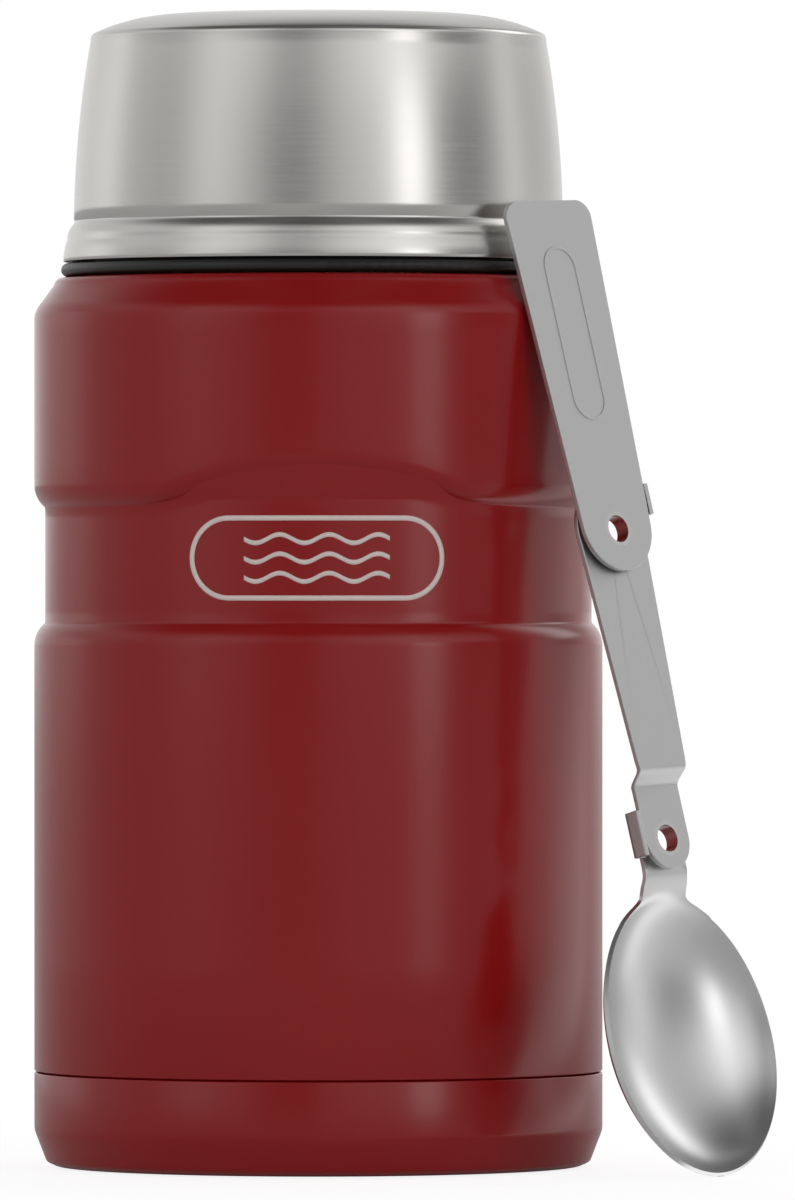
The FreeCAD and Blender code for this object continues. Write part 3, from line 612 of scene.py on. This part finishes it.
def spoon_matrix():
    """The spoon's own plane in the frame, from its grip's hinge and how it stands."""
    yaw = math.radians(SPOON_YAW)
    lean = math.radians(SPOON_LEAN)
    tilt = math.radians(SPOON_TILT)
    across = Vector((math.cos(yaw), math.sin(yaw), 0))
    outward = Vector((math.sin(yaw), -math.cos(yaw), 0))
    up = Vector((0, 0, 1))
    front = outward * math.cos(lean) + up * math.sin(lean)
    rise = up * math.cos(lean) - outward * math.sin(lean)
    side = across * math.cos(tilt) + rise * math.sin(tilt)
    along = rise * math.cos(tilt) - across * math.sin(tilt)
    hub = next(joint["pos_m"] for joint in frame["joints"] if joint["name"] == "grip_fold")
    columns = Matrix((side * MM, along * MM, front * MM)).transposed()
    return Matrix.Translation(Vector(hub)) @ columns.to_4x4()


SPOON = spoon_matrix()


def to_frame(form):
    """Takes a form from the spoon's own plane to the frame."""
    bmesh.ops.transform(form, matrix=SPOON, verts=form.verts)


def grip_maker(form):
    """The grip's plate: round about its hinge, and wider towards its far end."""
    foot_left = (-GRIP_END_RADIUS, GRIP_END_RISE)
    foot_right = (GRIP_END_RADIUS, GRIP_END_RISE)
    outline = half_circle(GRIP_END_RADIUS, 40, (0.0, GRIP_END_RISE), math.pi)
    outline += rounded([
        foot_right,
        (GRIP_TOP_HALF, GRIP_REACH, GRIP_CORNER),
        (-GRIP_TOP_HALF, GRIP_REACH, GRIP_CORNER),
        foot_left,
    ], 8)[1:-1]
    pierced_sheet(form, outline, [circle_points(HUB_BORE, BORE_STEPS)], 0.0)
    to_frame(form)


def grip_ring_maker(form):
    """A plain raised stadium on the grip."""
    def place(u, v, height):
        return (u, v + GRIP_RING_STATION, PLATE + height)
    inner = stadium(GRIP_RING_HALF_LENGTH - GRIP_RING_LINE, GRIP_RING_END_RADIUS - GRIP_RING_LINE)
    outer = stadium(GRIP_RING_HALF_LENGTH, GRIP_RING_END_RADIUS)
    raised_line(form, inner, outer, place, LINE_ROOT, GRIP_RING_PROUD)
    to_frame(form)


def link_maker(form):
    """The link's sheet, stepped back above its lower hub, with its ear and stop lug."""
    lower_hub = (0.0, -LINK_REACH)
    outline = half_circle(LINK_TOP_RADIUS, 40)
    outline += [(-LINK_BEND_HALF, LINK_BEND_START), (-LINK_END_RADIUS, LINK_BEND_END)]
    outline += half_circle(LINK_END_RADIUS, 32, lower_hub, math.pi)
    outline += [(LINK_END_RADIUS, LINK_BEND_END), (LINK_BEND_HALF, LINK_BEND_START)]
    holes = [circle_points(LINK_BORE, BORE_STEPS), circle_points(LINK_BORE, BORE_STEPS, lower_hub)]
    back = -PLATE_GAP - PLATE
    pierced_sheet(form, outline, holes, back, JOGGLE_CUTS)
    for vertex in form.verts:
        vertex.co.z -= LINK_SET_BACK * smooth_share(vertex.co.y, JOGGLE_START, JOGGLE_END)
    left = GRIP_END_RADIUS + STOP_CLEARANCE
    right = left + PLATE
    ends = (LINK_STOP_BOTTOM, LINK_STOP_TOP)
    block(form, LINK_EAR_START, right, *ends, back, -PLATE_GAP)
    block(form, left, right, *ends, -PLATE_GAP - LINK_LUG_ROOT, PLATE)
    to_frame(form)


def bowl_length(along):
    """The bowl is two half ellipses: a long one towards the neck, a short one to the tip."""
    return BOWL_UPPER if along > 0 else BOWL_LOWER


def head_half_width(y):
    """Half the head's width at y: the neck flares into the bowl."""
    along = y + BOWL_STATION
    bowl = BOWL_HALF * math.sqrt(max(1 - (along / bowl_length(along)) ** 2, 0.0))
    if y <= NECK_END:
        return bowl
    softness = NECK_SOFTNESS * min(1.0, (NECK_SPLIT - y) / NECK_SOFTENING)
    return smooth_max(NECK_HALF, bowl, softness)


def head_height(x, y):
    """Front face of the head over its plane: flat neck, dip to the rim, and the bowl."""
    dip = smooth_share(y, NECK_DIP_START, NECK_DIP_START - NECK_DIP_LENGTH)
    plate = HEAD_FRONT + (BOWL_RIM - HEAD_FRONT) * dip
    depth = BOWL_DEPTH + BOWL_RISE
    spread = math.sqrt(1 - (BOWL_RISE / depth) ** 2)
    along = y + BOWL_STATION
    across_share = x * spread / BOWL_HALF
    along_share = along * spread / bowl_length(along)
    inside = max(1 - across_share ** 2 - along_share ** 2, 0.0)
    bowl = BOWL_RIM + BOWL_RISE - depth * math.sqrt(inside)
    return -smooth_max(-plate, -bowl, RIM_SOFTNESS)


def head_point(form, x, y):
    """A vertex on the head's front face."""
    return form.verts.new((x, y - LINK_REACH, head_height(x, y)))


def bowl_grid(form):
    """Rows of points from the neck to the tip, closer together where the outline turns."""
    grid = []
    for row in range(HEAD_ROWS + 1):
        share = math.sin(math.pi / 2 * row / HEAD_ROWS)
        y = NECK_SPLIT + (-BOWL_STATION - BOWL_LOWER - NECK_SPLIT) * share
        half = head_half_width(y)
        grid.append([head_point(form, -half * math.cos(math.pi * column / HEAD_COLUMNS), y)
                     for column in range(HEAD_COLUMNS + 1)])
    return grid


def head_maker(form):
    """The bowl and neck as one sheet of rows, and the pierced hub above them."""
    grid = bowl_grid(form)
    for upper, lower in zip(grid, grid[1:]):
        bridge(form, upper, lower, closed=False)
    side = [NECK_SPLIT * k / NECK_SIDE_STEPS for k in range(1, NECK_SIDE_STEPS)]
    edge = list(grid[0])
    edge += [head_point(form, NECK_HALF, y) for y in side[::-1]]
    edge += [head_point(form, *point) for point in half_circle(NECK_HALF, 40)]
    edge += [head_point(form, -NECK_HALF, y) for y in side]
    bore = []
    for vertex in edge:
        angle = math.atan2(vertex.co.y + LINK_REACH, vertex.co.x)
        bore.append(head_point(form, HUB_BORE * math.cos(angle), HUB_BORE * math.sin(angle)))
    bridge(form, edge, bore)
    bmesh.ops.remove_doubles(form, verts=form.verts, dist=1e-4)
    to_frame(form)


def head_lug_maker(form):
    """Ear and lug bent forward at the hub's left, which the link comes to rest on."""
    right = -LINK_END_RADIUS - STOP_CLEARANCE
    left = right - PLATE
    low = -LINK_REACH - HEAD_STOP_DROP
    high = low + HEAD_STOP_LENGTH
    back = HEAD_FRONT - SPOON_WALL
    block(form, left, HEAD_EAR_END, low, high, back, HEAD_FRONT)
    block(form, left, right, low, high, back + HEAD_LUG_ROOT, back + HEAD_LUG_HEIGHT)
    to_frame(form)


def make_spoon(plate_steel, bowl_steel):
    grip = new_piece("grip_plate", grip_maker, "grip", plate_steel, ["spoon_grip"])
    soften(sharpen(grip), 0.16)
    link = new_piece("link_plate", link_maker, "spoon", plate_steel, ["spoon_link"])
    soften(sharpen(link), 0.16)
    head = new_piece("spoon_bowl", head_maker, "head", bowl_steel, ["spoon_head"])
    skin = head.modifiers.new("thickness", "SOLIDIFY")
    skin.thickness = SPOON_WALL * MM
    skin.offset = -1.0
    soften(head, 0.2, angle=40.0).harden_normals = True
    lug = new_piece("head_lug", head_lug_maker, "head", plate_steel, ["spoon_head"])
    soften(sharpen(lug), 0.25)
    ring = new_piece("grip_ring", grip_ring_maker, "grip", plate_steel, ())
    soften(sharpen(ring), 0.04)


# Materials


class Nodes:
    """Shorthand for building a material's node tree."""

    def __init__(self, name):
        self.material = bpy.data.materials.new(name)
        self.material.use_nodes = True
        self.tree = self.material.node_tree
        self.shader = self.tree.nodes["Principled BSDF"]

    def add(self, kind, **values):
        node = self.tree.nodes.new(kind)
        for key, value in values.items():
            if key in node.inputs:
                node.inputs[key].default_value = value
            else:
                setattr(node, key, value)
        return node

    def link(self, source, target):
        self.tree.links.new(source, target)

    def set(self, **values):
        for key, value in values.items():
            self.shader.inputs[key].default_value = value

    def grain(self, scale, detail, stretch=(1.0, 1.0, 1.0)):
        """Noise in the object's own place, its features drawn out where stretch is small."""
        coordinates = self.add("ShaderNodeTexCoord")
        mapping = self.add("ShaderNodeMapping", Scale=stretch)
        self.link(coordinates.outputs["Object"], mapping.inputs["Vector"])
        return self.noise(mapping.outputs["Vector"], scale, detail)

    def noise(self, vector, scale, detail):
        texture = self.add("ShaderNodeTexNoise", Scale=scale, Detail=detail)
        self.link(vector, texture.inputs["Vector"])
        return texture.outputs["Fac"]

    def ranged(self, source, low, high):
        node = self.add("ShaderNodeMapRange")
        self.link(source, node.inputs["Value"])
        node.inputs["To Min"].default_value = low
        node.inputs["To Max"].default_value = high
        return node.outputs["Result"]

    def colour(self, source, first, second):
        """Base colour between two tints."""
        node = self.add("ShaderNodeMix", data_type="RGBA")
        self.link(source, node.inputs["Factor"])
        tints = [socket for socket in node.inputs if socket.type == "RGBA"]
        for socket, tint in zip(tints, (first, second)):
            socket.default_value = (*tint, 1.0)
        mixed = next(socket for socket in node.outputs if socket.type == "RGBA")
        self.link(mixed, self.shader.inputs["Base Color"])

    def roughness(self, source, low, high):
        self.link(self.ranged(source, low, high), self.shader.inputs["Roughness"])

    def bump(self, source, strength, distance):
        node = self.add("ShaderNodeBump", Strength=strength, Distance=distance)
        self.link(source, node.inputs["Height"])
        self.link(node.outputs["Normal"], self.shader.inputs["Normal"])


def darker(tint, share):
    return [channel * share for channel in tint]


def red_paint():
    """Semi-matte powder coat: a very fine pebble and a soft milky sheen."""
    nodes = Nodes("red_powder_coat")
    nodes.set(IOR=1.45)
    fine = nodes.grain(scale=2600.0, detail=3.0)
    broad = nodes.grain(scale=45.0, detail=2.0)
    nodes.colour(broad, (0.335, 0.0065, 0.0075), (0.350, 0.0072, 0.0082))
    nodes.roughness(fine, 0.16, 0.23)
    nodes.bump(fine, strength=0.12, distance=0.00004)
    return nodes.material


def turned_steel(name, tint, roughness, grain):
    """Steel finished on a lathe: fine rings round the axis, and light drawn out across them."""
    nodes = Nodes(name)
    nodes.set(Metallic=1.0, Anisotropic=0.55)
    tangent = nodes.add("ShaderNodeTangent", direction_type="RADIAL", axis="Z")
    nodes.link(tangent.outputs["Tangent"], nodes.shader.inputs["Tangent"])
    rings = nodes.grain(scale=5200.0, detail=4.0, stretch=(0.02, 0.02, 1.0))
    nodes.colour(rings, darker(tint, 0.965), tint)
    nodes.roughness(rings, roughness - 0.04, roughness + 0.05)
    nodes.bump(rings, strength=grain, distance=0.00002)
    return nodes.material


def sheet_steel(name, tint, roughness, grain):
    """Stamped sheet steel with a faint brushed grain along the spoon."""
    nodes = Nodes(name)
    nodes.set(Metallic=1.0)
    coordinates = nodes.add("ShaderNodeTexCoord")
    mapping = nodes.add("ShaderNodeMapping", vector_type="TEXTURE", Scale=(1.0, 30.0, 1.0))
    mapping.inputs["Rotation"].default_value = SPOON.to_3x3().normalized().to_euler()
    nodes.link(coordinates.outputs["Object"], mapping.inputs["Vector"])
    brushed = nodes.noise(mapping.outputs["Vector"], scale=3800.0, detail=3.0)
    nodes.colour(brushed, darker(tint, 0.97), tint)
    nodes.roughness(brushed, roughness - 0.03, roughness + 0.04)
    nodes.bump(brushed, strength=grain, distance=0.00002)
    return nodes.material


def black_plastic():
    """Moulded plastic of the stopper and the thread ring, nearly black and finely textured."""
    nodes = Nodes("black_moulded_plastic")
    grain = nodes.grain(scale=2200.0, detail=3.0)
    nodes.colour(grain, (0.010, 0.0085, 0.0085), (0.015, 0.013, 0.013))
    nodes.roughness(grain, 0.36, 0.46)
    nodes.bump(grain, strength=0.15, distance=0.00003)
    return nodes.material


def soft_pale(name, first, second, scale, roughness):
    """Silicone and foam: pale, matt and slightly uneven."""
    nodes = Nodes(name)
    grain = nodes.grain(scale, detail=4.0)
    nodes.colour(grain, first, second)
    nodes.roughness(grain, roughness - 0.06, roughness + 0.06)
    nodes.bump(grain, strength=0.3, distance=0.00008)
    return nodes.material


def warm_print():
    """Printed warm white of the plain badge."""
    nodes = Nodes("warm_white_print")
    grain = nodes.grain(scale=1800.0, detail=3.0)
    nodes.colour(grain, (0.90, 0.76, 0.72), (0.96, 0.82, 0.78))
    nodes.roughness(grain, 0.38, 0.48)
    return nodes.material


def inner_metal(name, tint, roughness):
    """Brass and foil, which only show when the jar is taken apart."""
    nodes = Nodes(name)
    nodes.set(Metallic=1.0)
    grain = nodes.grain(scale=1500.0, detail=3.0)
    nodes.colour(grain, darker(tint, 0.9), tint)
    nodes.roughness(grain, roughness - 0.05, roughness + 0.08)
    nodes.bump(grain, strength=0.2, distance=0.00003)
    return nodes.material


def dress_nodes(materials):
    """Gives each CAD node that stays its finish, by the record's slot."""
    slots = {row["node"]: row["material_slot"] for row in frame["record"]["subparts"]}
    for name, node in frame["nodes"].items():
        for slot in node.material_slots:
            slot.material = materials[slots[name]]


# Stage


def maths(tree, operation, first, second):
    """A Math node's output; each input is a number or a socket."""
    node = tree.nodes.new("ShaderNodeMath")
    node.operation = operation
    for socket, value in zip(node.inputs, (first, second)):
        if isinstance(value, (int, float)):
            socket.default_value = value
        else:
            tree.links.new(value, socket)
    return node.outputs[0]


def by_azimuth(tree, way, levels):
    """Brightness by compass direction, from (degrees, brightness) pairs, softly joined."""
    parts = tree.nodes.new("ShaderNodeSeparateXYZ")
    tree.links.new(way, parts.inputs[0])
    forward = maths(tree, "MULTIPLY", parts.outputs["Y"], -1.0)
    azimuth = maths(tree, "ARCTAN2", parts.outputs["X"], forward)
    turn = maths(tree, "ADD", maths(tree, "DIVIDE", azimuth, 2 * math.pi), 0.5)
    ramp = tree.nodes.new("ShaderNodeValToRGB")
    tree.links.new(turn, ramp.inputs["Fac"])
    ramp.color_ramp.interpolation = "EASE"
    stops = ramp.color_ramp.elements
    while len(stops) > 1:
        stops.remove(stops[-1])
    brightest = max(level for _, level in levels)
    stops[0].position = 0.0
    stops[0].color = (*[levels[0][1] / brightest] * 3, 1.0)
    for degrees, level in levels[1:]:
        stop = stops.new(degrees / 360 + 0.5)
        stop.color = (*[level / brightest] * 3, 1.0)
    return maths(tree, "MULTIPLY", ramp.outputs["Color"], brightest)


def floor_glow(nodes, path):
    """White for the camera, and a painted pool of light glowing on the floor beside the spoon, seen only in what
    the metal mirrors.
    """
    seen = nodes.ranged(path.outputs["Is Camera Ray"], 0.0, FLOOR_GLOW)
    coordinates = nodes.add("ShaderNodeTexCoord")
    beside = nodes.add("ShaderNodeVectorMath", operation="SUBTRACT")
    nodes.link(coordinates.outputs["Object"], beside.inputs[0])
    beside.inputs[1].default_value = BESIDE_SPOON
    # painted light: the floor glows in a pool beside the spoon, and only glossy rays see it
    pool = by_azimuth(nodes.tree, beside.outputs["Vector"], POOL)
    mirrored = maths(nodes.tree, "MULTIPLY", path.outputs["Is Glossy Ray"], pool)
    return maths(nodes.tree, "ADD", seen, mirrored)


def make_stage():
    """A pale floor just under the jar."""
    bpy.ops.mesh.primitive_plane_add(size=FLOOR_SIZE, location=(0, 0, -FLOOR_DROP))
    floor = bpy.context.object
    floor.name = "floor"
    nodes = Nodes("pale_floor")
    nodes.set(Roughness=0.9)
    path = nodes.add("ShaderNodeLightPath")
    nodes.link(floor_glow(nodes, path), nodes.shader.inputs["Emission Strength"])
    nodes.shader.inputs["Emission Color"].default_value = (1, 1, 1, 1)
    shade = nodes.ranged(path.outputs["Is Camera Ray"], FLOOR_GREY, FLOOR_SHADE)
    grey = nodes.add("ShaderNodeCombineColor")
    for channel in ("Red", "Green", "Blue"):
        nodes.link(shade, grey.inputs[channel])
    nodes.link(grey.outputs["Color"], nodes.shader.inputs["Base Color"])
    floor.data.materials.append(nodes.material)


def by_height(tree, up, low, high, at_low, at_high):
    """A soft step between two heights on the sky's sphere."""
    node = tree.nodes.new("ShaderNodeMapRange")
    node.interpolation_type = "SMOOTHSTEP"
    tree.links.new(up, node.inputs["Value"])
    limits = {"From Min": low, "From Max": high, "To Min": at_low, "To Max": at_high}
    for name, value in limits.items():
        node.inputs[name].default_value = value
    return node.outputs["Result"]


def make_world():
    """A white room for the camera, and a studio of soft panels for the object."""
    world = bpy.data.worlds.new("studio")
    bpy.context.scene.world = world
    world.use_nodes = True
    tree = world.node_tree
    way = tree.nodes.new("ShaderNodeTexCoord").outputs["Generated"]
    parts = tree.nodes.new("ShaderNodeSeparateXYZ")
    tree.links.new(way, parts.inputs[0])
    up = parts.outputs["Z"]
    leaving = by_height(tree, up, CANOPY_FROM, CANOPY_FULL, 1.0, 0.0)
    coming = by_height(tree, up, CANOPY_FROM, CANOPY_FULL, 0.0, 1.0)
    level_part = maths(tree, "MULTIPLY", by_azimuth(tree, way, STUDIO), leaving)
    canopy_part = maths(tree, "MULTIPLY", by_azimuth(tree, way, CANOPY), coming)
    zenith = by_height(tree, up, ZENITH_FROM, ZENITH_FULL, 1.0, ZENITH_SHARE)
    studio = maths(tree, "MULTIPLY", maths(tree, "ADD", level_part, canopy_part), zenith)
    path = tree.nodes.new("ShaderNodeLightPath")
    strength = tree.nodes.new("ShaderNodeMix")
    strength.data_type = "FLOAT"
    tree.links.new(path.outputs["Is Camera Ray"], strength.inputs["Factor"])
    tree.links.new(studio, strength.inputs["A"])
    strength.inputs["B"].default_value = 1.0
    background = tree.nodes["Background"]
    background.inputs["Color"].default_value = (1, 1, 1, 1)
    tree.links.new(strength.outputs["Result"], background.inputs["Strength"])


def make_camera():
    """The photo's camera; its picture is PICTURE_TALL millimetres tall at the jar's axis."""
    data = bpy.data.cameras.new("photo_camera")
    camera = bpy.data.objects.new("photo_camera", data)
    bpy.context.scene.collection.objects.link(camera)
    data.sensor_width = SENSOR
    data.sensor_fit = "AUTO"
    data.lens = SENSOR * CAMERA_DISTANCE / PICTURE_TALL
    data.clip_start = NEAREST_SEEN
    data.clip_end = FARTHEST_SEEN
    place = Vector((CAMERA_ACROSS, -CAMERA_DISTANCE, CAMERA_HEIGHT)) * MM
    aim = Vector((CAMERA_ACROSS, 0.0, PICTURE_CENTRE_HEIGHT)) * MM
    camera.location = place
    camera.rotation_euler = (aim - place).to_track_quat("-Z", "Y").to_euler()
    bpy.context.scene.camera = camera


def main():
    paint = red_paint()
    satin = turned_steel("satin_turned_steel", (0.64, 0.625, 0.605), roughness=0.24, grain=0.10)
    bright = turned_steel("bright_turned_steel", (0.70, 0.69, 0.68), roughness=0.18, grain=0.05)
    plate = sheet_steel("spoon_plate_steel", (0.60, 0.60, 0.60), roughness=0.42, grain=0.08)
    bowl = sheet_steel("spoon_bowl_steel", (0.72, 0.72, 0.72), roughness=0.30, grain=0.02)
    dress_nodes({
        "red_paint": paint,
        "satin_steel": satin,
        "bright_steel": bright,
        "spoon_steel": plate,
        "brazed_brass": inner_metal("brazed_brass", (0.55, 0.42, 0.20), roughness=0.35),
        "foil": inner_metal("bright_foil", (0.80, 0.80, 0.81), roughness=0.12),
        "black_plastic": black_plastic(),
        "foam": soft_pale("insulating_foam", (0.72, 0.68, 0.60), (0.80, 0.77, 0.70),
                          scale=700.0, roughness=0.85),
        "silicone": soft_pale("silicone", (0.36, 0.36, 0.36), (0.42, 0.42, 0.42),
                              scale=900.0, roughness=0.5),
    })
    make_jar(paint, warm_print())
    make_lid(satin)
    make_spoon(plate, bowl)
    make_stage()
    make_world()
    make_camera()
    bpy.context.scene.view_settings.view_transform = "Standard"


main()
